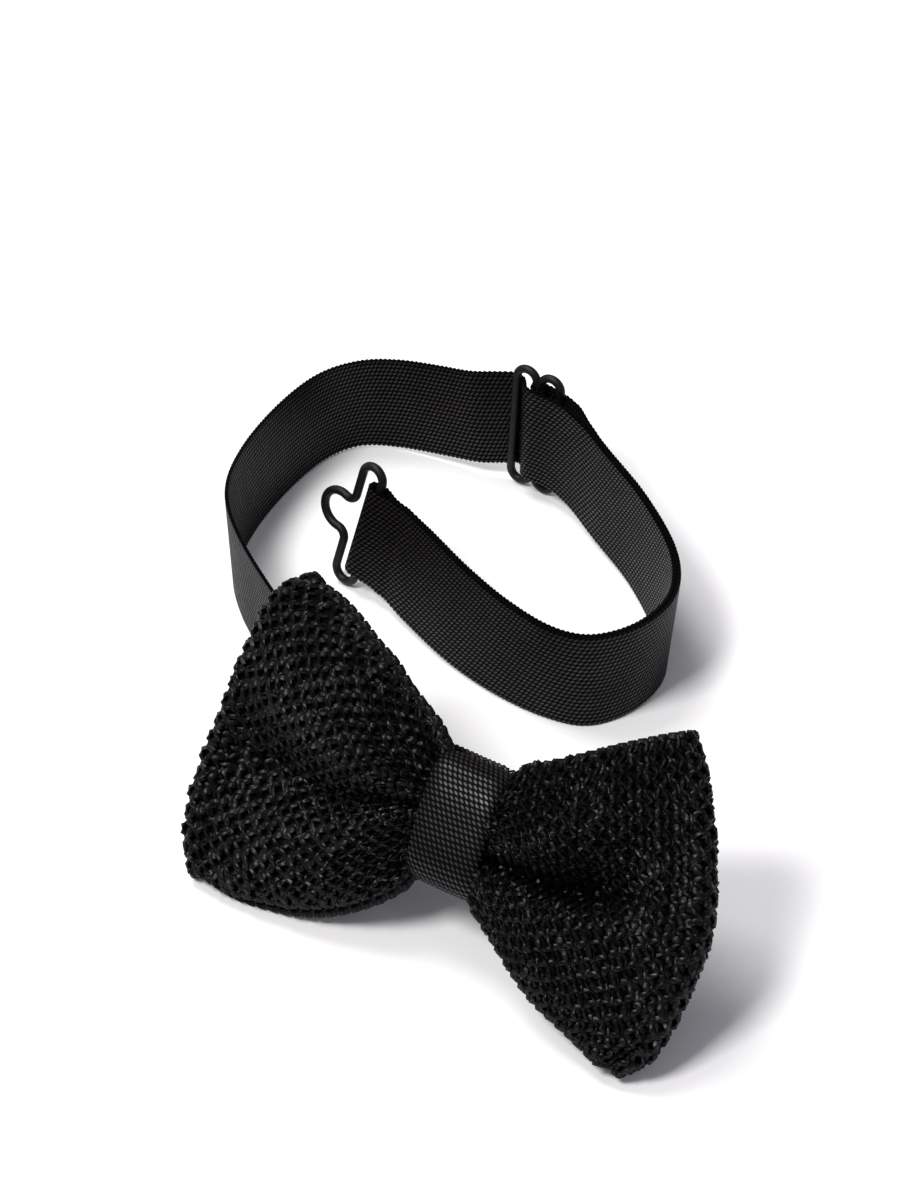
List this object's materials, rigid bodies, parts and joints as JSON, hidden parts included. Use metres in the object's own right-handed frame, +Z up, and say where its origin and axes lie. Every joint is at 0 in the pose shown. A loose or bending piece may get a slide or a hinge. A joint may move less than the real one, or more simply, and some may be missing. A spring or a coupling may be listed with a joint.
{
  "type": "bow tie",
  "caption": "Pre-tied bow tie in chunky black knit, with a tape-wrapped knot and an adjustable neck tape that closes with a wire hook and eye",
  "frame": {"origin": "middle of the bottom of the whole object's box, on the surface that it stands on", "axes": "+X along the bow's width toward its right wing as seen from the front, -Y is the way the bow faces, +Z up"},
  "size_m": [0.1665, 0.1552, 0.0531],
  "materials": {
    "knit": "black chunky knit of twisted silk-like yarn, soft sheen on each stitch",
    "tape": "black woven tape with fine crosswise ribs",
    "coated_wire": "satin black coated wire",
    "thread": "black sewing thread"
  },
  "bodies": {
    "bow": {"left_wing": "knit", "right_wing": "knit", "gathered_waist": "knit", "waist_thread": "thread", "knot_wrap": "tape", "wrap_seam": "thread", "neck_tape_root": "tape", "root_tack": "thread", "tab_tape_root": "tape", "tab_tack": "thread"},
    "strap_left": {"neck_tape_left": "tape"},
    "strap_back": {"neck_tape_back": "tape", "tape_in_adjuster": "tape", "neck_tape_corner": "tape", "return_tape_corner": "tape"},
    "strap_right": {"neck_tape_right": "tape", "return_tape_right": "tape"},
    "strap_near": {"neck_tape_near": "tape", "return_tape_near": "tape"},
    "strap_front": {"neck_tape_front": "tape", "return_tape_front": "tape", "hook_fold": "tape", "hook_tack": "thread"},
    "hook_wire": {"hook": "coated_wire"},
    "slider": {"adjuster": "coated_wire", "return_end": "tape", "return_tack": "thread"},
    "tab": {"tab_tape_end": "tape", "tab_fold": "tape", "eye_tack": "thread"},
    "eye_wire": {"eye": "coated_wire"}
  },
  "joints": [
    {"name": "left_flex", "type": "hinge", "parent": "bow", "child": "strap_left", "pos_m": [-0.0455, -0.0145, 0.0126], "axis": [0, 0, 1], "range_deg": [-27, 4]},
    {"name": "strap_flex", "type": "hinge", "parent": "strap_left", "child": "strap_back", "pos_m": [-0.0775, 0.065, 0.0128], "axis": [0, 0, 1], "range_deg": [-4, 34]},
    {"name": "right_flex", "type": "hinge", "parent": "strap_back", "child": "strap_right", "pos_m": [0.0055, 0.0558, 0.013], "axis": [0, 0, 1], "range_deg": [-4, 31]},
    {"name": "near_flex", "type": "hinge", "parent": "strap_right", "child": "strap_near", "pos_m": [0.0265, 0.0315, 0.0126], "axis": [0, 0, 1], "range_deg": [-4, 26]},
    {"name": "front_flex", "type": "hinge", "parent": "strap_near", "child": "strap_front", "pos_m": [0.0205, 0.01, 0.0126], "axis": [0, 0, 1], "range_deg": [-2, 14]},
    {"name": "hook_swing", "type": "hinge", "parent": "strap_front", "child": "hook_wire", "pos_m": [-0.04544, 0.02223, 0.01654], "axis": [0.2118, 0.1185, 0.9701], "range_deg": [-90, 90]},
    {"name": "adjuster_slide", "type": "slide", "parent": "strap_back", "child": "slider", "axis": [-0.997, -0.0768, 0], "range_m": [0, 0.012], "deforming": ["tape_in_adjuster"]},
    {"name": "tab_flex", "type": "hinge", "parent": "bow", "child": "tab", "pos_m": [0.044, -0.0446, 0.0186], "axis": [-0.0853, 0.6119, 0.7863], "range_deg": [-8, 25]},
    {"name": "eye_swing", "type": "hinge", "parent": "tab", "child": "eye_wire", "pos_m": [0.05608, -0.03916, 0.01747], "axis": [-0.1649, 0.4596, 0.8727], "range_deg": [-45, 60]}
  ],
  "couplings": [
    {"joint": "left_flex", "follows": "strap_flex", "ratio": -0.75},
    {"joint": "right_flex", "follows": "strap_flex", "ratio": 0.9},
    {"joint": "near_flex", "follows": "strap_flex", "ratio": 0.75},
    {"joint": "front_flex", "follows": "strap_flex", "ratio": 0.4}
  ]
}
